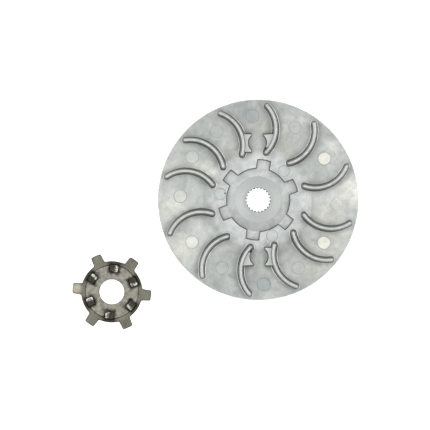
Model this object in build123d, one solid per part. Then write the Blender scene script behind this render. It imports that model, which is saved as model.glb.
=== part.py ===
from build123d import *
from math import atan2, cos, degrees, radians, sin, tan
import os

# CVT pulley set: the outer fixed half of a scooter drive pulley, fan side up, with its
# pressed starter star lying beside it.  Millimetres.  The origin is the centre of the bore
# at the hub face, +Z points away from the belt, and both parts stand on the plane Z = 0.

# ---- casting: body of revolution ----
RIM_R = 56.5
HUB_FACE_R = 15.0
HUB_FACE_EASE = 0.4
HUB_STEP = 1.0
BELT_ANGLE = 14.0
RIM_TOP_Z = 14.6
RIM_EDGE = 0.45
SEAM_ANGLE = 93.0
PLATEAU_Z = 12.0
PLATEAU_R = 27.4
PLATEAU_EDGE_ROUND = 8.0
CHANNEL_FOOT_R = 30.5
CHANNEL_FOOT_Z = 11.7
CHANNEL_FOOT_ROUND = 6.0

# ---- casting: pocket for the starter star ----
POCKET_FLOOR_Z = 10.0
POCKET_BODY_R = 17.95
POCKET_TIP_R = 22.8
POCKET_SLOT_W = 7.7
POCKET_FIRST = 21.4
POCKET_CORNER_R = 0.7
POCKET_DRAFT = 10.0

# ---- casting: fan vanes ----
VANE_FIRST = 16.9
VANE_PITCHES = [33.0, 31.0, 29.0, 27.0, 25.0, 35.0] * 2
VANE_TOP_Z = 20.5
VANE_TOP_W = 1.6
VANE_DRAFT = 6.5
VANE_TOP_ROUND = 0.45
VANE_ROOT_ROUND = 0.7
VANE_INNER_R = 27.0
VANE_OUTER_R = 52.9
VANE_ARC_R = 18.78
VANE_ARC_CENTRE_R = 40.9
VANE_ARC_LEAD = 21.68
VANE_DEPTH = 14.0
WEB_INNER_R = 20.0
WEB_OUTER_R = RIM_R - 0.6

# ---- casting: two pairs of pads that seat the pins of a holding tool ----
SEAT_ANGLE = 90.8
SEAT_CENTRE_R = 32.0
SEAT_R = 5.36
PAD_TOP_Z = 16.6
PAD_BOTTOM_Z = 8.0
PAD_NEAR_R = 26.9
PAD_FAR_R = 36.9
PAD_TIP_X = 3.5
PAD_SHORT_R = 29.3
PAD_REACH_X = 14.0
PAD_SKEW = 0.3
PAD_DRAFT = 6.0
PAD_ROUND = 0.3

# ---- casting: ejector pin marks, as angle, radius and diameter ----
FLOOR_MARKS = [
    (32.0, 43.8, 7.1),
    (63.0, 45.6, 7.1),
    (93.9, 47.2, 7.5),
    (121.3, 45.0, 7.1),
    (147.0, 44.1, 7.1),
    (177.4, 43.8, 7.1),
    (212.5, 44.1, 7.1),
    (242.0, 43.3, 7.1),
    (273.8, 47.6, 7.5),
    (300.5, 44.4, 7.1),
    (326.8, 44.1, 7.1),
    (357.0, 44.1, 7.1),
]
HUB_MARK_R = 21.6
HUB_MARK_D = 6.2
HUB_MARK_ANGLES = [48.25, 171.25, 291.25]
MARK_DEPTH = 0.15
MARK_CUTTER_H = 2.0

# ---- cast-in splined bush ----
SPLINE_TEETH = 22
SPLINE_MINOR_R = 6.3
SPLINE_MAJOR_R = 6.9
SPLINE_GAP_INNER = 1.1
SPLINE_GAP_OUTER = 0.62
SPLINE_FIRST = 2.62
SPLINE_LEAD_IN = 0.5
BUSH_BARREL_R = 10.8
BUSH_FLANGE_R = 13.2
BUSH_FLANGE_Z = 6.4
BUSH_DISH_R = 8.6
BUSH_DISH_Z = 9.45
BUSH_KEY_COUNT = 6
BUSH_KEY_R = 1.2
BUSH_KEY_RING_R = 11.15
BUSH_KEY_LOW_Z = 1.8
BUSH_KEY_LENGTH = 3.4

# ---- starter star ----
STAR_X = -82.4
STAR_Y = -51.8
STAR_PLATE_T = 1.7
STAR_BODY_R = 17.3
STAR_HOLE_R = 7.0
STAR_HOLE_EASE = 0.25
STAR_DISC_R = 14.9
STAR_DISC_RISE = 0.5
STAR_DISC_EASE = 0.3
STAR_EDGE_ROUND = 0.4
STAR_TIP_R = 22.2
STAR_TAB_ROOT_W = 6.5
STAR_TAB_TIP_W = 5.8
STAR_TAB_FIRST = -5.6
STAR_ROOT_ROUND = 0.9
STAR_TIP_ROUND = 0.8
STAR_ARMS = 6
DOG_FIRST = 24.4
DOG_INNER_R = 11.2
DOG_OUTER_R = 15.1
DOG_LENGTH = 4.7
DOG_LAND = 2.0
DOG_TOP_Z = 5.6
DOG_LOW_Z = 3.3
DOG_FOOT_Z = 0.6
DOG_CORNER = 0.7
DOG_ROUND = 0.35
DIMPLE_DEPTH = 1.1
DIMPLE_INSET = 0.55
DIMPLE_CORNER = 0.4

STANDING = (Align.CENTER, Align.CENTER, Align.MIN)


def at(angle, radius):
    """The point at an angle and a radius from the axis."""
    return (radius * cos(radians(angle)), radius * sin(radians(angle)))


def moved(shape, x, y, z=0.0):
    return Pos(x, y, z) * shape


def spun(shape, angle):
    return Rot(0, 0, angle) * shape


def turned_solid(points):
    """Revolve a closed outline of (radius, height) points about Z."""
    outline = make_face(Plane.XZ * Polyline(*points, close=True))
    return revolve(outline, axis=Axis.Z)


def joined(shapes):
    whole = shapes[0]
    for shape in shapes[1:]:
        whole = whole + shape
    return whole


def belt_z(radius):
    return HUB_STEP + (radius - HUB_FACE_R) * tan(radians(BELT_ANGLE))


CHANNEL_SLOPE = (RIM_TOP_Z - CHANNEL_FOOT_Z) / (RIM_R - CHANNEL_FOOT_R)


def channel_z(radius):
    return CHANNEL_FOOT_Z + (radius - CHANNEL_FOOT_R) * CHANNEL_SLOPE


def arm_angles(first=0.0):
    return [first + 360.0 / STAR_ARMS * k for k in range(STAR_ARMS)]


def star_outline(body_r, tip_r, root_w, tip_w, root_round, tip_round):
    """A round body with tabs standing out of it, the first tab along X."""
    inside, root, beyond = body_r * 0.6, body_r * 0.96, tip_r + 0.5
    tab = Polygon(
        (inside, -root_w / 2),
        (root, -root_w / 2),
        (beyond, -tip_w / 2),
        (beyond, tip_w / 2),
        (root, root_w / 2),
        (inside, root_w / 2),
        align=None,
    )
    tab = tab & Circle(tip_r)
    tips = tab.vertices().filter_by(lambda v: v.X > tip_r * 0.9)
    tab = fillet(tips, tip_round)
    star = joined([Circle(body_r)] + [spun(tab, arm) for arm in arm_angles()])
    roots = [v for v in star.vertices() if abs(v.center().length - body_r) < 0.25]
    return fillet(roots, root_round)


def casting_body():
    """The drive face, its hub plateau and the bowl that carries the vanes."""
    plateau_edge = (PLATEAU_R, PLATEAU_Z)
    channel_foot = (CHANNEL_FOOT_R, CHANNEL_FOOT_Z)
    section = make_face(
        Polyline(
            (0, 0),
            (HUB_FACE_R - HUB_FACE_EASE, 0),
            (HUB_FACE_R, HUB_FACE_EASE),
            (HUB_FACE_R, HUB_STEP),
            (RIM_R - RIM_EDGE, belt_z(RIM_R - RIM_EDGE)),
            (RIM_R, belt_z(RIM_R) + RIM_EDGE),
            (RIM_R, RIM_TOP_Z - RIM_EDGE),
            (RIM_R - RIM_EDGE, RIM_TOP_Z),
            channel_foot,
            plateau_edge,
            (0, PLATEAU_Z),
            close=True,
        )
    )

    def corner(point):
        x, y = point
        return [v for v in section.vertices() if abs(v.X - x) + abs(v.Y - y) < 0.01]

    section = fillet(corner(channel_foot), CHANNEL_FOOT_ROUND)
    section = fillet(corner(plateau_edge), PLATEAU_EDGE_ROUND)
    return spun(revolve(Plane.XZ * section, axis=Axis.Z), SEAM_ANGLE)


def vane(angle):
    """One curved vane: drafted sides, rounded top edges, round ends."""
    centre = at(angle + VANE_ARC_LEAD, VANE_ARC_CENTRE_R)

    def bearing(radius):
        """Direction from the arc centre to where the vane crosses a radius."""
        base = angle + VANE_ARC_LEAD + 180.0
        c = VANE_ARC_CENTRE_R
        cosine = (c * c + VANE_ARC_R**2 - radius * radius) / (2 * c * VANE_ARC_R)
        return base + degrees(atan2((1 - cosine * cosine) ** 0.5, cosine))

    start = bearing(VANE_INNER_R)
    end = bearing(VANE_OUTER_R)
    spine = CenterArc(centre, VANE_ARC_R, start, end - start)
    outline = SlotArc(arc=spine, height=VANE_TOP_W)
    blade = extrude(Plane.XY.offset(VANE_TOP_Z) * outline, -VANE_DEPTH, taper=-VANE_DRAFT)
    top = blade.faces().sort_by(Axis.Z)[-1]
    return fillet(top.edges(), VANE_TOP_ROUND)


def above_web():
    """The space that vanes and pads may fill, starting half way into the web."""
    near, far = WEB_INNER_R, WEB_OUTER_R
    lid = VANE_TOP_Z + 10.0

    def middle(radius):
        return (belt_z(radius) + channel_z(radius)) / 2

    space = turned_solid([(near, middle(near)), (far, middle(far)), (far, lid), (near, lid)])
    return spun(space, SEAM_ANGLE)


def vane_angles():
    angles = [VANE_FIRST]
    for pitch in VANE_PITCHES[:-1]:
        angles.append(angles[-1] + pitch)
    return angles


def vane_feet(body):
    """The edges where the vanes meet the bowl and the plateau."""
    feet = []
    for edge in body.edges():
        middle = edge.position_at(0.5)
        radius = (middle.X**2 + middle.Y**2) ** 0.5
        low = POCKET_FLOOR_Z - 1.0 < middle.Z < RIM_TOP_Z + 0.4
        if not low or radius > WEB_OUTER_R or edge.geom_type == GeomType.LINE:
            continue
        if edge.geom_type == GeomType.CIRCLE:
            centre = edge.arc_center
            if abs(centre.X) + abs(centre.Y) < 0.5:
                continue
        feet.append(edge)
    return feet


def pads(vane_before, vane_after):
    """Two pads facing each other across a round seat, each grown from a vane."""
    deep = PAD_TOP_Z - PAD_BOTTOM_Z
    lean = deep * tan(radians(PAD_DRAFT))
    turn = 90.0 - SEAT_ANGLE

    def lifted(shape, x, y):
        return Pos(x, y, PAD_BOTTOM_Z) * shape

    def drafted(*corners):
        top_outline = Plane.XY.offset(PAD_TOP_Z) * Polygon(*corners, align=None)
        return extrude(top_outline, -deep, taper=-PAD_DRAFT)

    def vane_column(angle):
        column = Cylinder(VANE_ARC_R, deep, align=STANDING)
        return lifted(column, *at(angle + VANE_ARC_LEAD + turn, VANE_ARC_CENTRE_R))

    seat = lifted(Cone(SEAT_R - lean, SEAT_R, deep, align=STANDING), 0, SEAT_CENTRE_R)
    wide = drafted(
        (-PAD_TIP_X, PAD_NEAR_R),
        (-PAD_TIP_X, PAD_FAR_R),
        (-PAD_REACH_X, PAD_FAR_R + PAD_SKEW),
        (-PAD_REACH_X, PAD_NEAR_R + PAD_SKEW),
    )
    short = drafted(
        (PAD_REACH_X, PAD_SHORT_R),
        (PAD_REACH_X, PAD_FAR_R + PAD_SKEW),
        (PAD_TIP_X, PAD_FAR_R - PAD_SKEW),
        (PAD_TIP_X, PAD_SHORT_R),
    )
    wide = (wide - vane_column(vane_after)) - seat
    short = (short & vane_column(vane_before)) - seat
    made = []
    for block in (wide, short):
        top = block.faces().sort_by(Axis.Z)[-1]
        made.append(spun(fillet(top.edges(), PAD_ROUND), -turn))
    return made


def ejector_marks():
    """Shallow round flats left in the channels and on the hub plateau."""
    tools = []
    tilt = degrees(atan2(CHANNEL_SLOPE, 1.0))
    for angle, radius, diameter in FLOOR_MARKS:
        disc = Cylinder(diameter / 2, MARK_CUTTER_H, align=STANDING)
        disc = Rot(0, -tilt, 0) * Pos(0, 0, -MARK_DEPTH) * disc
        tools.append(spun(moved(disc, radius, 0, channel_z(radius)), angle))
    for angle in HUB_MARK_ANGLES:
        disc = Cylinder(HUB_MARK_D / 2, MARK_CUTTER_H, align=STANDING)
        tools.append(spun(moved(disc, HUB_MARK_R, 0, PLATEAU_Z - MARK_DEPTH), angle))
    return tools


def bush_blank(top):
    """The outside of the bush: barrel with six key hollows, and its flange."""
    blank = turned_solid(
        [
            (0, 0),
            (BUSH_BARREL_R, 0),
            (BUSH_BARREL_R, BUSH_FLANGE_Z),
            (BUSH_FLANGE_R, BUSH_FLANGE_Z),
            (BUSH_FLANGE_R, POCKET_FLOOR_Z),
        ]
        + top
    )
    for k in range(BUSH_KEY_COUNT):
        x, y = at(360.0 / BUSH_KEY_COUNT * k, BUSH_KEY_RING_R)
        key = Cylinder(BUSH_KEY_R, BUSH_KEY_LENGTH, align=STANDING)
        blank = blank - moved(key, x, y, BUSH_KEY_LOW_Z)
    return blank


def splined_bush():
    """Steel bush, flanged under the star, with the crank spline through it."""
    bush = bush_blank([(BUSH_DISH_R, BUSH_DISH_Z), (0, BUSH_DISH_Z)])
    gap = Polygon(
        (SPLINE_MINOR_R - 1.0, -SPLINE_GAP_INNER / 2 - 0.3),
        (SPLINE_MINOR_R, -SPLINE_GAP_INNER / 2),
        (SPLINE_MAJOR_R, -SPLINE_GAP_OUTER / 2),
        (SPLINE_MAJOR_R, SPLINE_GAP_OUTER / 2),
        (SPLINE_MINOR_R, SPLINE_GAP_INNER / 2),
        (SPLINE_MINOR_R - 1.0, SPLINE_GAP_INNER / 2 + 0.3),
        align=None,
    )
    pitch = 360.0 / SPLINE_TEETH
    gaps = [spun(gap, SPLINE_FIRST + pitch * k) for k in range(SPLINE_TEETH)]
    bush = bush - extrude(joined([Circle(SPLINE_MINOR_R)] + gaps), BUSH_DISH_Z + 1.0)
    mouth = SPLINE_MAJOR_R + 0.15
    foot = SPLINE_MAJOR_R - SPLINE_LEAD_IN
    lead = turned_solid([(0, 0), (mouth, 0), (foot, mouth - foot), (0, mouth - foot)])
    high = Pos(0, 0, BUSH_DISH_Z) * (Rot(180, 0, 0) * lead)
    return bush - lead - high


def fan_pulley():
    body = casting_body()
    space = above_web()
    angles = vane_angles()
    blade = vane(0.0)
    body = joined([body] + [spun(blade, angle) & space for angle in angles])
    body = fillet(vane_feet(body), VANE_ROOT_ROUND)
    for pad in pads(angles[2], angles[3]):
        body = body + (pad & space)
        body = body + (spun(pad, 180.0) & space)
    pocket = star_outline(
        POCKET_BODY_R,
        POCKET_TIP_R,
        POCKET_SLOT_W,
        POCKET_SLOT_W,
        POCKET_CORNER_R,
        POCKET_CORNER_R,
    )
    pocket = Plane.XY.offset(PLATEAU_Z) * spun(pocket, POCKET_FIRST)
    depth = PLATEAU_Z - POCKET_FLOOR_Z
    body = body - extrude(pocket, -depth, taper=POCKET_DRAFT)
    for tool in ejector_marks():
        body = body - tool
    clear_z = PLATEAU_Z + 1.0
    return body - bush_blank([(BUSH_FLANGE_R, clear_z), (0, clear_z)])


def dog():
    """One ratchet dog along X: upright drive face, flat land, then a falling ramp."""
    half = DOG_LENGTH / 2
    side = Plane.YZ * Polygon(
        (half, DOG_FOOT_Z),
        (half, DOG_LOW_Z),
        (-half + DOG_LAND, DOG_TOP_Z),
        (-half, DOG_TOP_Z),
        (-half, DOG_FOOT_Z),
        align=None,
    )
    block = Pos(DOG_INNER_R, 0, 0) * extrude(side, DOG_OUTER_R - DOG_INNER_R)
    block = fillet(block.edges().filter_by(Axis.Z), DOG_CORNER)
    crown = [e for e in block.edges() if e.center().Z > DOG_LOW_Z - DOG_ROUND]
    return fillet(crown, DOG_ROUND)


def kick_star():
    outline = star_outline(
        STAR_BODY_R,
        STAR_TIP_R,
        STAR_TAB_ROOT_W,
        STAR_TAB_TIP_W,
        STAR_ROOT_ROUND,
        STAR_TIP_ROUND,
    )
    star = extrude(spun(outline, STAR_TAB_FIRST), STAR_PLATE_T)
    top = star.faces().sort_by(Axis.Z)[-1]
    star = fillet(top.edges(), STAR_EDGE_ROUND)
    disc = extrude(Circle(STAR_DISC_R), STAR_PLATE_T + STAR_DISC_RISE)
    rim = disc.faces().sort_by(Axis.Z)[-1].edges()
    star = star + fillet(rim, STAR_DISC_EASE)
    for angle in arm_angles(DOG_FIRST):
        star = star + spun(dog(), angle)
    middle = (DOG_INNER_R + DOG_OUTER_R) / 2
    wide = DOG_OUTER_R - DOG_INNER_R - 2 * DIMPLE_INSET
    long = DOG_LENGTH - 2 * DIMPLE_INSET
    for angle in arm_angles(DOG_FIRST):
        dimple = extrude(RectangleRounded(wide, long, DIMPLE_CORNER), DIMPLE_DEPTH)
        star = star - spun(moved(dimple, middle, 0), angle)
    top_z = STAR_PLATE_T + STAR_DISC_RISE
    wide_r = STAR_HOLE_R + STAR_HOLE_EASE
    hole = turned_solid(
        [
            (0, -1),
            (wide_r, -1),
            (wide_r, 0),
            (STAR_HOLE_R, STAR_HOLE_EASE),
            (STAR_HOLE_R, top_z - STAR_HOLE_EASE),
            (wide_r, top_z),
            (wide_r, top_z + 1),
            (0, top_z + 1),
        ]
    )
    star = star - hole
    return moved(star, STAR_X, STAR_Y)


nodes = {
    "fan_pulley": fan_pulley(),
    "splined_hub_bush": splined_bush(),
    "kick_star": kick_star(),
}
os.makedirs("parts", exist_ok=True)
for name, shape in nodes.items():
    export_step(shape, f"parts/{name}.step")
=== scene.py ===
import bpy
import math
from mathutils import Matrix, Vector

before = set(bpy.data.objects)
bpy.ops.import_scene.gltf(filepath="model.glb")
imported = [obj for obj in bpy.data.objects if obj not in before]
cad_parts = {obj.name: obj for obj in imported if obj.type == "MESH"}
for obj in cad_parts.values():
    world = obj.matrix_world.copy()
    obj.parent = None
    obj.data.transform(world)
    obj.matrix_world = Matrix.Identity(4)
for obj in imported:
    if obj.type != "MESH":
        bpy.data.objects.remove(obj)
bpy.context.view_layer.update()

# ---------------------------------------------------------------- view
# VIEW_WIDTH is the width that the camera sees at the height FOCUS_Z.
MM = 0.001
VIEW_CENTRE = (-24.28 * MM, -8.52 * MM)
VIEW_WIDTH = 241.6 * MM
FOCUS_Z = 13.0 * MM
SENSOR_WIDTH = 36.0
LENS = 600.0

# ---------------------------------------------------------------- floor and light, in metres
FLOOR_HALF_WIDTH = 6.0
FLOOR_DROP = 0.00002
FLOOR_GLOW = 0.85
SOFTBOX_X, SOFTBOX_Y, SOFTBOX_Z = 0.95, 0.1, 1.25
SOFTBOX_SIZE = (0.9, 0.8)
SOFTBOX_AIM = (0, 0, 0.01)
LEFT_RADIANCE, RIGHT_RADIANCE = 2.0, 2.4
HORIZON_LEVEL, ZENITH_LEVEL = 0.44, 0.775
ZENITH_Z = 0.95
BACKDROP = (0.95, 0.95, 0.95, 1)

# ---------------------------------------------------------------- places, in millimetres
# The pulley: radii from its axis, and heights above the floor.
RIM_R = 56.5
RIM_TOP_Z = 14.6
PLATEAU_R = 27.4
VANE_TOP_Z = 20.5
PAD_TOP_Z = 16.6
BUSH_FLANGE_R = 13.2
PIT_ANGLE, PIT_R = 169.0, 19.1

# The star-shaped pocket: the angle of its first slot, in degrees, its floor and its outline.
POCKET_FIRST = 21.4
POCKET_FLOOR_Z = 10.0
POCKET_BODY_R = 17.95
POCKET_TIP_R = 22.8
POCKET_HALF_W = 3.85

# The star: where it lies, the angles of its first tab and dog, and its outline.
STAR_CENTRE = (-82.4, -51.8)
TAB_FIRST = -5.6
TAB_ROOT_R, TAB_TIP_R = 17.3, 22.2
TAB_ROOT_HALF_W, TAB_TIP_HALF_W = 3.25, 2.9
DISC_R = 14.9
DISC_LINE_R = DISC_R + 0.1
DOG_FIRST = 24.4
DOG_LOW_Z = 3.3

# The darkest of the painted shade round each dog: its middle, and half its reach out and across.
DOG_SHADE_R = 13.3
DOG_SHADE_HALF_OUT, DOG_SHADE_HALF_ACROSS = 1.7, 1.9

# ---------------------------------------------------------------- tones
# The cast skin.
CAST_DARK, CAST_LIGHT = (0.50, 0.53, 0.515), (0.59, 0.615, 0.60)
PLATEAU_TONE = (0.715, 0.745, 0.73)
WARM = (0.68, 0.67, 0.59)
IVORY = (0.95, 0.95, 0.85)
BONE = (0.93, 0.93, 0.87)
CHALK = (0.88, 0.88, 0.83)
STRAW = (0.86, 0.85, 0.74)
CREAM = (0.79, 0.785, 0.70)
ASH = (0.75, 0.76, 0.73)
PALE = (0.74, 0.745, 0.70)
PLAIN = (0.60, 0.63, 0.605)
COOL = (0.71, 0.765, 0.755)
SLATE = (0.48, 0.53, 0.53)
SMOKE = (0.43, 0.45, 0.445)
# Painted shade for the inner corners.
CORNER_SHADE = (0.17, 0.175, 0.165)
FLAT_OUTLINE = (0.24, 0.25, 0.24)
# Painted shade along the pocket's wall.
POCKET_WALL_SHADE = (0.15, 0.155, 0.15)
# Painted shade for the pit's hollow.
PIT_SHADE = (0.05, 0.055, 0.05)
# Painted shade on the vane flanks and crests, and a painted highlight on their tops.
FLANK_SHADE_LOW, FLANK_SHADE_HIGH = (0.115, 0.118, 0.11), (0.40, 0.41, 0.40)
CREST_SHADE = (0.42, 0.43, 0.42)
CREST_HIGHLIGHT = (0.74, 0.76, 0.745)
# Painted light on the tops of the tool pads.
PAD_TOP_LIGHT = (0.72, 0.74, 0.72)
TURNED_DARK, TURNED_LIGHT = (0.56, 0.57, 0.565), (0.68, 0.69, 0.685)

# The bush.
BUSH_DARK, BUSH_LIGHT = (0.51, 0.54, 0.525), (0.60, 0.625, 0.61)
SEAM_TONE = (0.30, 0.31, 0.30)

# The star.
PLATE_DARK, PLATE_LIGHT = (0.165, 0.163, 0.122), (0.30, 0.295, 0.235)
DISC_DARK, DISC_LIGHT = (0.25, 0.245, 0.198), (0.50, 0.49, 0.42)
# Painted light on the left tab.
LIT_TAB = (0.62, 0.59, 0.46)
# Painted shade, near black: along the outline, at the disc's step and round the dogs.
SHADE_BLACK = (0.013, 0.012, 0.008)
# Painted shade on the steep faces.
EDGE_SHADE = (0.03, 0.029, 0.021)
RAMP_DARK, RAMP_LIGHT = (0.09, 0.088, 0.068), (0.19, 0.185, 0.145)
# Worn steel with a painted highlight on the dogs.
WORN_GLINT_STEEL = (0.88, 0.86, 0.82)
UNDER_DARK, UNDER_LIGHT = (0.13, 0.128, 0.098), (0.24, 0.236, 0.19)

# Ejector pin flats: angle, distance from the axis, radius, tone, and how far each shows.
PIN_FLATS = [
    (32.0, 43.8, 3.55, IVORY, 1.0),
    (63.0, 45.6, 3.55, PLAIN, 0.4),
    (93.9, 47.2, 3.75, SLATE, 0.6),
    (121.3, 45.0, 3.55, PLAIN, 0.4),
    (147.0, 44.1, 3.55, PALE, 0.6),
    (177.4, 43.8, 3.55, PALE, 0.9),
    (212.5, 44.1, 3.55, IVORY, 0.65),
    (242.0, 43.3, 3.55, PLAIN, 0.6),
    (273.8, 47.6, 3.75, SLATE, 1.0),
    (300.5, 44.4, 3.55, PLAIN, 0.6),
    (326.8, 44.1, 3.55, IVORY, 0.95),
    (357.0, 44.1, 3.55, PALE, 0.08),
    (48.25, 21.6, 3.1, COOL, 0.8),
    (171.25, 21.6, 3.1, COOL, 0.9),
    (291.25, 21.6, 3.1, COOL, 0.9),
]
# Soft stains on the cast skin, partly painted light and shade: the pale ones lie toward ±X, where the
# softboxes stand, and the dark ones toward ±Y. Angle, distance from the axis, reach, tone and strength.
STAINS_AND_PAINTED_LIGHT = [
    (4.0, 52.0, 13.0, BONE, 0.95),
    (32.0, 53.0, 11.0, CHALK, 0.9),
    (62.0, 47.0, 11.0, ASH, 0.85),
    (352.0, 40.0, 8.0, PALE, 0.7),
    (340.0, 50.0, 9.0, PALE, 0.7),
    (332.0, 36.0, 6.0, PLAIN, 0.4),
    (150.0, 31.5, 6.5, IVORY, 0.9),
    (152.0, 38.0, 8.0, IVORY, 0.7),
    (185.0, 49.0, 10.0, CREAM, 0.7),
    (212.0, 51.0, 11.0, STRAW, 0.9),
    (205.0, 38.0, 7.0, PALE, 0.5),
    (118.0, 34.0, 7.0, PALE, 0.6),
    (100.0, 51.0, 9.0, SMOKE, 0.5),
    (80.0, 36.0, 6.0, SMOKE, 0.3),
    (268.0, 48.0, 12.0, SMOKE, 0.4),
    (300.0, 32.0, 8.0, SMOKE, 0.5),
]


def polar(angle, radius):
    return radius * math.cos(math.radians(angle)), radius * math.sin(math.radians(angle))


# ---------------------------------------------------------------- node helpers
class Graph:
    """A short way to write a shader node graph."""

    def __init__(self, name, world=False):
        self.owner = bpy.data.worlds.new(name) if world else bpy.data.materials.new(name)
        self.owner.use_nodes = True
        self.tree = self.owner.node_tree
        self.tree.nodes.clear()

    def put(self, kind, inputs=None, **settings):
        node = self.tree.nodes.new(kind)
        for key, value in settings.items():
            setattr(node, key, value)
        for key, value in (inputs or {}).items():
            self.feed(node.inputs[key], value)
        return node

    def feed(self, socket, value):
        """Link a socket to another one, or set it to a constant."""
        if isinstance(value, bpy.types.NodeSocket):
            self.tree.links.new(value, socket)
        else:
            socket.default_value = value

    def maths(self, operation, a, b=0.0, clamp=False):
        node = self.put("ShaderNodeMath", operation=operation, use_clamp=clamp)
        self.feed(node.inputs[0], a)
        if len(node.inputs) > 1:
            self.feed(node.inputs[1], b)
        return node.outputs[0]

    def add(self, a, b):
        return self.maths("ADD", a, b)

    def minus(self, a, b, clamp=False):
        return self.maths("SUBTRACT", a, b, clamp)

    def absolute(self, value):
        return self.maths("ABSOLUTE", value)

    def highest(self, a, b):
        return self.maths("MAXIMUM", a, b)

    def lowest(self, a, b):
        return self.maths("MINIMUM", a, b)

    def times(self, first, *others):
        """The product of two or more numbers."""
        for other in others:
            first = self.maths("MULTIPLY", first, other)
        return first

    def remap(self, value, low, high, to_low=0.0, to_high=1.0, smooth=False):
        node = self.put("ShaderNodeMapRange", clamp=True)
        node.interpolation_type = "SMOOTHSTEP" if smooth else "LINEAR"
        self.feed(node.inputs[0], value)
        for index, number in enumerate((low, high, to_low, to_high), start=1):
            self.feed(node.inputs[index], number)
        return node.outputs[0]

    def fall(self, value, low, high, smooth=False):
        """1 up to low, 0 from high on."""
        return self.remap(value, low, high, 1.0, 0.0, smooth)

    def near(self, value, target, full, end):
        """1 within full of the target, 0 from end on."""
        return self.fall(self.absolute(self.minus(value, target)), full, end)

    def mix(self, factor, a, b, blend="MIX"):
        node = self.put("ShaderNodeMix", data_type="RGBA", blend_type=blend)
        node.clamp_factor = True
        self.feed(node.inputs[0], factor)
        self.feed(node.inputs[6], a if isinstance(a, bpy.types.NodeSocket) else tuple(a) + (1,))
        self.feed(node.inputs[7], b if isinstance(b, bpy.types.NodeSocket) else tuple(b) + (1,))
        return node.outputs[2]

    def grey(self, level):
        return self.put("ShaderNodeCombineColor", {0: level, 1: level, 2: level}).outputs[0]

    def scaled(self, colour, factor):
        """A colour times a number that varies over the surface."""
        return self.mix(1.0, colour, self.grey(factor), "MULTIPLY")

    def noise(self, vector, scale, detail=3.0, rough=0.5, warp=0.0):
        inputs = {"Vector": vector, "Scale": scale, "Detail": detail}
        inputs.update({"Roughness": rough, "Distortion": warp})
        return self.put("ShaderNodeTexNoise", inputs).outputs[0]

    def split(self, vector):
        return self.put("ShaderNodeSeparateXYZ", {0: vector}).outputs

    def radius(self, x, y):
        return self.maths("SQRT", self.add(self.times(x, x), self.times(y, y)))

    def bump(self, height, strength, distance, normal=None):
        inputs = {"Height": height, "Strength": strength, "Distance": distance}
        if normal is not None:
            inputs["Normal"] = normal
        return self.put("ShaderNodeBump", inputs).outputs[0]

    def metal(self, colour, rough, normal):
        """Close the graph as bare metal, and return the material."""
        inputs = {"Base Color": colour, "Roughness": rough, "Normal": normal}
        shader = self.put("ShaderNodeBsdfPrincipled", inputs)
        shader.inputs["Metallic"].default_value = 1.0
        out = self.put("ShaderNodeOutputMaterial")
        self.tree.links.new(shader.outputs[0], out.inputs["Surface"])
        return self.owner


class Skin(Graph):
    """The material of one part: x, y and r from the part's centre and z, in mm, and up."""

    def __init__(self, name, centre=(0.0, 0.0)):
        super().__init__(name)
        coord = self.put("ShaderNodeTexCoord")
        scale = self.put("ShaderNodeVectorMath", operation="SCALE")
        self.feed(scale.inputs[0], coord.outputs["Object"])
        scale.inputs["Scale"].default_value = 1.0 / MM
        self.point = scale.outputs[0]
        frame_x, frame_y, self.z = self.split(self.point)
        self.x = self.minus(frame_x, centre[0])
        self.y = self.minus(frame_y, centre[1])
        self.r = self.radius(self.x, self.y)
        self.up = self.split(coord.outputs["Normal"])[2]

    def disc(self, at, edge, soft):
        """1 inside a circle, 0 outside it."""
        away = self.radius(self.minus(self.x, at[0]), self.minus(self.y, at[1]))
        return self.fall(away, edge - soft, edge + soft, smooth=True)

    def fold(self, first):
        """Turn each sixth of the part onto the first: how far along and across a tab."""
        step = math.radians(60.0)
        angle = self.maths("ARCTAN2", self.y, self.x)
        shifted = self.add(angle, math.radians(30.0 - first + 360.0))
        local = self.minus(self.maths("MODULO", shifted, step), step / 2)
        along = self.times(self.r, self.maths("COSINE", local))
        across = self.times(self.r, self.maths("SINE", local))
        return along, across


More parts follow.
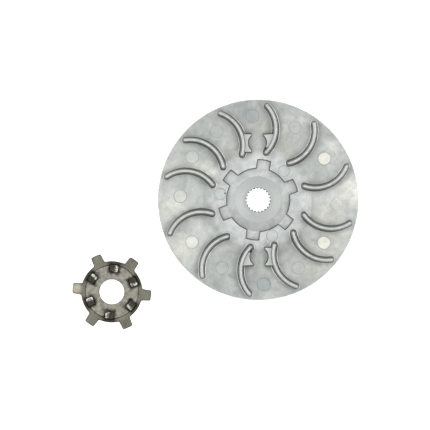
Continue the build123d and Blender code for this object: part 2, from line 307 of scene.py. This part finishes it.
# ---------------------------------------------------------------- the cast pulley
class CastAluminium(Skin):
    """A die-cast skin with stains and pin flats, painted light and shade on the bowl, the pocket, the
    corners, the vanes and the pads, and turned faces below.
    """

    def __init__(self):
        super().__init__("cast_aluminium")
        self.cloudy = self.noise(self.point, 0.055, 4.0, 0.55, 0.6)
        self.patchy = self.noise(self.point, 0.13, 4.0, 0.6, 0.8)
        self.mottle = self.noise(self.point, 0.35, 4.0, 0.6, 0.3)
        self.grain = self.noise(self.point, 1.6, 3.0, 0.6)
        self.fine = self.noise(self.point, 5.0, 2.0, 0.5)

    def plain_skin(self):
        """Two greys, a paler plateau, and warm patches in the bowl."""
        tone = self.mix(self.remap(self.cloudy, 0.35, 0.65), CAST_DARK, CAST_LIGHT)
        plateau = self.fall(self.r, PLATEAU_R - 0.9, PLATEAU_R + 1.1)
        tone = self.mix(self.times(plateau, 0.8), tone, PLATEAU_TONE)
        drift = self.noise(self.point, 0.035, 3.0, 0.5, 0.4)
        warm = self.remap(drift, 0.52, 0.68, smooth=True)
        bowl = self.remap(self.r, PLATEAU_R - 0.9, PLATEAU_R + 1.6, 0.0, 0.45)
        return self.mix(self.times(warm, bowl), tone, WARM)

    def stained_and_lit(self, tone):
        """Soft stains with ragged edges, partly painted light and shade, in the bowl only."""
        bowl = self.remap(self.r, PLATEAU_R - 0.9, PLATEAU_R + 1.1)
        ragged = self.remap(self.cloudy, 0.30, 0.58, 0.35, 1.0)
        for angle, radius, reach, colour, strength in STAINS_AND_PAINTED_LIGHT:
            spot = self.disc(polar(angle, radius), reach * 0.6, reach * 0.6)
            tone = self.mix(self.times(spot, ragged, bowl, strength), tone, colour)
        return tone

    def mottled(self, tone):
        tone = self.scaled(tone, self.remap(self.patchy, 0.30, 0.70, 0.84, 1.13))
        tone = self.scaled(tone, self.remap(self.mottle, 0.30, 0.70, 0.92, 1.08))
        return self.scaled(tone, self.remap(self.grain, 0.3, 0.7, 0.93, 1.07))

    def shade_pocket_floor(self, tone):
        """Painted shade: the floor of the pocket is darker toward -Y."""
        pocket_floor_shade = self.remap(self.y, -16.0, 6.0, 0.30, 0.05, smooth=True)
        floor = self.times(self.fall(self.r, POCKET_BODY_R - 0.45, POCKET_BODY_R + 0.05), pocket_floor_shade)
        return self.scaled(tone, self.minus(1.0, floor))

    def pin_flats(self, tone):
        """Flats with their own tone and a thin dark outline: the new tone, and where they are."""
        smooth = 0.0
        below_vanes = self.fall(self.z, RIM_TOP_Z + 0.6, RIM_TOP_Z + 1.0)
        texture = self.remap(self.mottle, 0.30, 0.70, 0.94, 1.06)
        for angle, radius, size, colour, strength in PIN_FLATS:
            at = polar(angle, radius)
            flat = self.times(self.disc(at, size - 0.1, 0.12), below_vanes)
            outer = self.times(self.disc(at, size + 0.28, 0.15), below_vanes)
            ring = self.minus(outer, flat, clamp=True)
            line = self.remap(self.patchy, 0.35, 0.6, 0.15 * strength, 0.75 * strength)
            tone = self.mix(self.times(ring, line), tone, FLAT_OUTLINE)
            tone = self.mix(self.times(flat, strength), tone, self.scaled(colour, texture))
            smooth = self.highest(smooth, self.times(flat, strength))
        return tone, smooth

    def pocket_wall_shade_line(self, tone):
        """Painted shade: a thin dark line along the pocket's wall."""
        across = self.fold(POCKET_FIRST)[1]
        side = self.minus(self.absolute(across), POCKET_HALF_W)
        slot = self.highest(side, self.minus(self.r, POCKET_TIP_R))
        edge = self.lowest(self.minus(self.r, POCKET_BODY_R), slot)
        line = self.fall(self.absolute(self.add(edge, 0.12)), 0.12, 0.42, smooth=True)
        return self.mix(self.times(line, 0.8), tone, POCKET_WALL_SHADE)

    def pitted(self, tone):
        """A small pit inside the edge of one of the flats on the plateau: a dark spot, painted shade for
        its hollow.
        """
        pit = self.disc(polar(PIT_ANGLE, PIT_R), 0.45, 0.3)
        return self.mix(self.times(pit, 0.85), tone, PIT_SHADE)

    def corners_shaded(self, tone):
        """Painted shade in the inner corners, from an occlusion node."""
        settings = {"samples": 8, "only_local": True}
        closed = self.put("ShaderNodeAmbientOcclusion", {"Distance": 0.004}, **settings)
        shade = self.remap(closed.outputs["AO"], 0.35, 0.97, 0.62, 0.0)
        return self.mix(self.times(shade, self.remap(self.patchy, 0.3, 0.6, 1.0, 0.7)), tone, CORNER_SHADE)

    def flanks(self):
        """1 on steep faces above the pocket's floor, apart from the rim's own wall."""
        steep = self.fall(self.absolute(self.up), 0.45, 0.93, smooth=True)
        inside = self.fall(self.r, RIM_R - 0.9, RIM_R - 0.6)
        above = self.remap(self.z, POCKET_FLOOR_Z - 0.5, POCKET_FLOOR_Z + 0.2)
        return self.times(steep, inside, above)

    def vanes_shaded_and_lit(self, tone, steep):
        """Painted shade on the flanks, darkest at the foot, painted shade on the crests' rounding, and a
        painted highlight along the tops.
        """
        height = self.remap(self.z, VANE_TOP_Z - 6.5, VANE_TOP_Z - 1.5, smooth=True)
        flank = self.mix(height, FLANK_SHADE_LOW, FLANK_SHADE_HIGH)
        tone = self.mix(self.times(steep, 0.88), tone, flank)
        crest = self.remap(self.z, VANE_TOP_Z - 0.9, VANE_TOP_Z - 0.4)
        tone = self.mix(self.times(crest, self.remap(self.up, 0.5, 0.9)), tone, CREST_SHADE)
        level = self.remap(self.up, 0.93, 0.995, smooth=True)
        broken = self.remap(self.mottle, 0.30, 0.60, 0.55, 1.0)
        return self.mix(self.times(crest, level, broken), tone, CREST_HIGHLIGHT)

    def pads_lit(self, tone):
        """Painted light on the flat tops of the tool pads."""
        rising = self.remap(self.z, PAD_TOP_Z - 0.3, PAD_TOP_Z - 0.1)
        falling = self.fall(self.z, PAD_TOP_Z + 0.1, PAD_TOP_Z + 0.3)
        level = self.remap(self.up, 0.9, 0.98)
        return self.mix(self.times(rising, falling, level, 0.8), tone, PAD_TOP_LIGHT)

    def turned_faces(self):
        """1 on every face that looks down, and on the outer wall of the rim."""
        down = self.remap(self.up, -0.3, -0.6)
        return self.highest(down, self.remap(self.r, RIM_R - 0.35, RIM_R - 0.1))

    def lathe_rings(self):
        """Uneven fine rings round the axis, as a lathe tool leaves them."""
        along = self.put("ShaderNodeCombineXYZ", {0: self.r}).outputs[0]
        return self.noise(along, 3.2, 3.0, 0.7)

    def turned_tone(self, rings):
        tone = self.mix(self.remap(rings, 0.35, 0.65), TURNED_DARK, TURNED_LIGHT)
        return self.scaled(tone, self.remap(self.cloudy, 0.3, 0.7, 0.93, 1.05))

    def roughness(self, smooth, steep, turned):
        rough = self.remap(self.mottle, 0.3, 0.7, 0.33, 0.47)
        rough = self.minus(rough, self.times(smooth, 0.08))
        rough = self.add(rough, self.times(steep, 0.15))
        cast = self.minus(1.0, turned)
        return self.add(self.times(rough, cast), self.times(turned, 0.30))

    def relief(self, turned, rings):
        """Grainy where it is cast, and ringed where it is turned."""
        cast = self.minus(1.0, turned)
        normal = self.bump(self.times(self.mottle, cast), 0.12, 0.0004)
        normal = self.bump(self.times(self.grain, cast), 0.14, 0.00012, normal)
        normal = self.bump(self.times(self.fine, cast), 0.12, 0.00005, normal)
        return self.bump(self.times(rings, turned), 0.25, 0.00006, normal)

    def build(self):
        tone = self.mottled(self.stained_and_lit(self.plain_skin()))
        tone, smooth = self.pin_flats(self.shade_pocket_floor(tone))
        tone = self.corners_shaded(self.pitted(self.pocket_wall_shade_line(tone)))
        steep = self.flanks()
        tone = self.pads_lit(self.vanes_shaded_and_lit(tone, steep))
        turned = self.turned_faces()
        rings = self.lathe_rings()
        tone = self.mix(turned, tone, self.turned_tone(rings))
        return self.metal(tone, self.roughness(smooth, steep, turned), self.relief(turned, rings))


# ---------------------------------------------------------------- the steel bush
def machined_steel():
    g = Skin("machined_steel")
    grain = g.noise(g.point, 1.8, 3.0, 0.6)
    tone = g.mix(g.remap(grain, 0.3, 0.7), BUSH_DARK, BUSH_LIGHT)
    seam = g.near(g.r, BUSH_FLANGE_R - 0.05, 0.1, 0.3)
    tone = g.mix(g.times(seam, 0.35), tone, SEAM_TONE)
    rings = g.maths("SINE", g.times(g.r, 14.0))
    normal = g.bump(rings, 0.05, 0.00005)
    normal = g.bump(grain, 0.10, 0.0001, normal)
    return g.metal(tone, g.remap(grain, 0.3, 0.7, 0.34, 0.46), normal)


# ---------------------------------------------------------------- the kick star
class HardenedSteel(Skin):
    """A pressed plate with painted shade at its edges and round its dogs, a painted light on one tab, and
    worn dogs with a painted highlight.
    """

    def __init__(self):
        super().__init__("hardened_steel", STAR_CENTRE)
        self.cloudy = self.noise(self.point, 0.12, 4.0, 0.6, 0.4)
        self.mottle = self.noise(self.point, 0.45, 4.0, 0.65, 0.5)
        self.ragged = self.noise(self.point, 0.95, 3.0, 0.6, 0.4)
        self.grain = self.noise(self.point, 1.8, 3.0, 0.6)
        self.along, self.across = self.fold(DOG_FIRST)

    def two_tones(self, dark, light):
        return self.mix(self.remap(self.mottle, 0.35, 0.65), dark, light)

    def plate(self):
        """An oily plate with a paler raised disc."""
        tone = self.mix(self.remap(self.grain, 0.3, 0.7), PLATE_DARK, PLATE_LIGHT)
        tone = self.scaled(tone, self.remap(self.cloudy, 0.3, 0.7, 0.75, 1.3))
        disc = self.fall(self.r, DISC_LINE_R - 0.3, DISC_LINE_R)
        return self.mix(self.times(disc, 0.9), tone, self.two_tones(DISC_DARK, DISC_LIGHT))

    def one_tab_lit(self, tone):
        """Painted light: the tab opposite the first one, on the left toward the softbox, is pale."""
        tab = self.disc(polar(TAB_FIRST + 180.0, 19.9), 2.6, 1.2)
        tab = self.times(tab, self.remap(self.mottle, 0.38, 0.56, 0.5, 1.0))
        return self.mix(tab, tone, LIT_TAB)

    def outline_shaded(self, tone):
        """The outline of the tabs and of the plate between them is darkened along its rounded edge:
        painted shade.
        """
        along, across = self.fold(TAB_FIRST)
        half_width = self.remap(along, TAB_ROOT_R, TAB_TIP_R, TAB_ROOT_HALF_W, TAB_TIP_HALF_W)
        beside = self.minus(self.absolute(across), half_width)
        outline = self.highest(beside, self.minus(self.r, TAB_TIP_R))
        outline = self.lowest(outline, self.minus(self.r, TAB_ROOT_R))
        skin = self.remap(outline, -0.75, -0.2, 0.0, 0.75)
        return self.mix(self.times(skin, self.remap(self.ragged, 0.35, 0.6, 1.0, 0.5)), tone, SHADE_BLACK)

    def disc_step_shade(self, tone):
        """Painted shade: a dark line where the raised disc ends, broken here and there."""
        step = self.near(self.r, DISC_LINE_R, 0.15, 0.45)
        return self.mix(self.times(step, self.remap(self.cloudy, 0.35, 0.55, 0.9, 0.35)), tone, SHADE_BLACK)

    def shade_round_dogs(self, tone):
        """Painted shade round the feet of the dogs, and out to the edge of the plate."""
        out = self.minus(self.absolute(self.minus(self.along, DOG_SHADE_R)), DOG_SHADE_HALF_OUT)
        beside = self.minus(self.absolute(self.across), DOG_SHADE_HALF_ACROSS)
        gap = self.radius(self.highest(out, 0.0), self.highest(beside, 0.0))
        gap = self.add(gap, self.remap(self.mottle, 0.3, 0.7, -0.6, 0.6))
        # The painted shade round each dog, darkest at its foot.
        scale = self.fall(gap, 0.4, 2.8, smooth=True)
        outside_disc = self.remap(self.r, DISC_LINE_R, DISC_LINE_R + 0.6)
        inside_tabs = self.fall(self.r, TAB_ROOT_R - 0.1, TAB_ROOT_R + 0.3)
        by_dog = self.remap(self.absolute(self.across), 2.8, 5.0, 0.6, 0.0, smooth=True)
        border = self.times(outside_disc, inside_tabs, by_dog)
        return self.mix(self.highest(self.times(scale, 0.96), border), tone, SHADE_BLACK)

    def edges_shaded(self, tone):
        """Painted shade on the steep faces: the rounded edges and the walls of the dogs."""
        steep = self.fall(self.absolute(self.up), 0.6, 0.985)
        return self.mix(self.times(steep, 0.85), tone, EDGE_SHADE)

    def dogs(self, tone):
        """A dull ramp, and worn streaks on the land and along the inner edge, part wear and part painted
        highlight.
        """
        crown = self.times(self.remap(self.z, DOG_LOW_Z - 0.4, DOG_LOW_Z), self.remap(self.up, 0.6, 0.9))
        tone = self.mix(crown, tone, self.two_tones(RAMP_DARK, RAMP_LIGHT))
        land = self.fall(self.across, -1.05, -0.55)
        inner = self.times(self.fall(self.along, 11.9, 12.3), self.remap(self.across, -0.2, 1.0, 0.9, 0.0))
        worn_and_glint = self.times(self.highest(land, inner), crown, self.remap(self.ragged, 0.46, 0.54))
        return self.mix(worn_and_glint, tone, WORN_GLINT_STEEL)

    def underside(self, tone):
        """The underside has none of the wear, painted shade or painted light, only oily mottling."""
        return self.mix(self.remap(self.up, 0.0, -0.4), tone, self.two_tones(UNDER_DARK, UNDER_LIGHT))

    def build(self):
        tone = self.outline_shaded(self.one_tab_lit(self.plate()))
        tone = self.edges_shaded(self.shade_round_dogs(self.disc_step_shade(tone)))
        tone = self.underside(self.dogs(tone))
        normal = self.bump(self.cloudy, 0.15, 0.0006)
        normal = self.bump(self.grain, 0.24, 0.00012, normal)
        return self.metal(tone, self.remap(self.grain, 0.3, 0.7, 0.30, 0.44), normal)


def dress(node, material):
    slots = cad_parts[node].data.materials
    for index in range(len(slots)):
        slots[index] = material
    if not len(slots):
        slots.append(material)


# ---------------------------------------------------------------- floor, light, camera
def make_floor():
    g = Graph("pale_floor")
    shader = g.put("ShaderNodeBsdfPrincipled")
    shader.inputs["Base Color"].default_value = (0.9, 0.9, 0.9, 1)
    shader.inputs["Roughness"].default_value = 0.9
    shader.inputs["Emission Color"].default_value = (1, 1, 1, 1)
    shader.inputs["Emission Strength"].default_value = FLOOR_GLOW
    out = g.put("ShaderNodeOutputMaterial")
    g.tree.links.new(shader.outputs[0], out.inputs["Surface"])
    mesh = bpy.data.meshes.new("floor")
    s = FLOOR_HALF_WIDTH
    mesh.from_pydata([(-s, -s, 0), (s, -s, 0), (s, s, 0), (-s, s, 0)], [], [(0, 1, 2, 3)])
    mesh.materials.append(g.owner)
    floor = bpy.data.objects.new("floor", mesh)
    bpy.context.scene.collection.objects.link(floor)
    floor.location.z = -FLOOR_DROP


def softbox(name, x, radiance):
    data = bpy.data.lights.new(name, "AREA")
    data.shape = "RECTANGLE"
    width, depth = SOFTBOX_SIZE
    data.size, data.size_y = width, depth
    data.energy = radiance * math.pi * width * depth
    lamp = bpy.data.objects.new(name, data)
    bpy.context.scene.collection.objects.link(lamp)
    place = Vector((x, SOFTBOX_Y, SOFTBOX_Z))
    lamp.location = place
    lamp.rotation_euler = (Vector(SOFTBOX_AIM) - place).to_track_quat("-Z", "Y").to_euler()
    lamp.visible_camera = False


def make_world():
    """A soft light that brightens toward the zenith, behind a plain backdrop."""
    g = Graph("studio", world=True)
    coord = g.put("ShaderNodeTexCoord")
    up = g.split(coord.outputs["Generated"])[2]
    level = g.remap(up, 0.0, ZENITH_Z, HORIZON_LEVEL, ZENITH_LEVEL)
    light = g.put("ShaderNodeBackground", {"Color": g.grey(level)})
    plain = g.put("ShaderNodeBackground")
    plain.inputs["Color"].default_value = BACKDROP
    path = g.put("ShaderNodeLightPath")
    both = g.put("ShaderNodeMixShader", {0: path.outputs["Is Camera Ray"]})
    g.tree.links.new(light.outputs[0], both.inputs[1])
    g.tree.links.new(plain.outputs[0], both.inputs[2])
    out = g.put("ShaderNodeOutputWorld")
    g.tree.links.new(both.outputs[0], out.inputs["Surface"])
    bpy.context.scene.world = g.owner


def make_camera():
    """A long lens that looks straight down."""
    data = bpy.data.cameras.new("camera")
    data.sensor_width = SENSOR_WIDTH
    data.lens = LENS
    distance = VIEW_WIDTH * LENS / SENSOR_WIDTH
    data.clip_start, data.clip_end = 0.1, 30.0
    camera = bpy.data.objects.new("camera", data)
    camera.location = (VIEW_CENTRE[0], VIEW_CENTRE[1], FOCUS_Z + distance)
    camera.rotation_euler = (0, 0, 0)
    bpy.context.scene.collection.objects.link(camera)
    bpy.context.scene.camera = camera


dress("fan_pulley", CastAluminium().build())
dress("splined_hub_bush", machined_steel())
dress("kick_star", HardenedSteel().build())
make_floor()
softbox("softbox_left", -SOFTBOX_X, LEFT_RADIANCE)
softbox("softbox_right", SOFTBOX_X, RIGHT_RADIANCE)
make_world()
make_camera()
scene = bpy.context.scene
scene.view_settings.view_transform = "Standard"
scene.view_settings.look = "None"
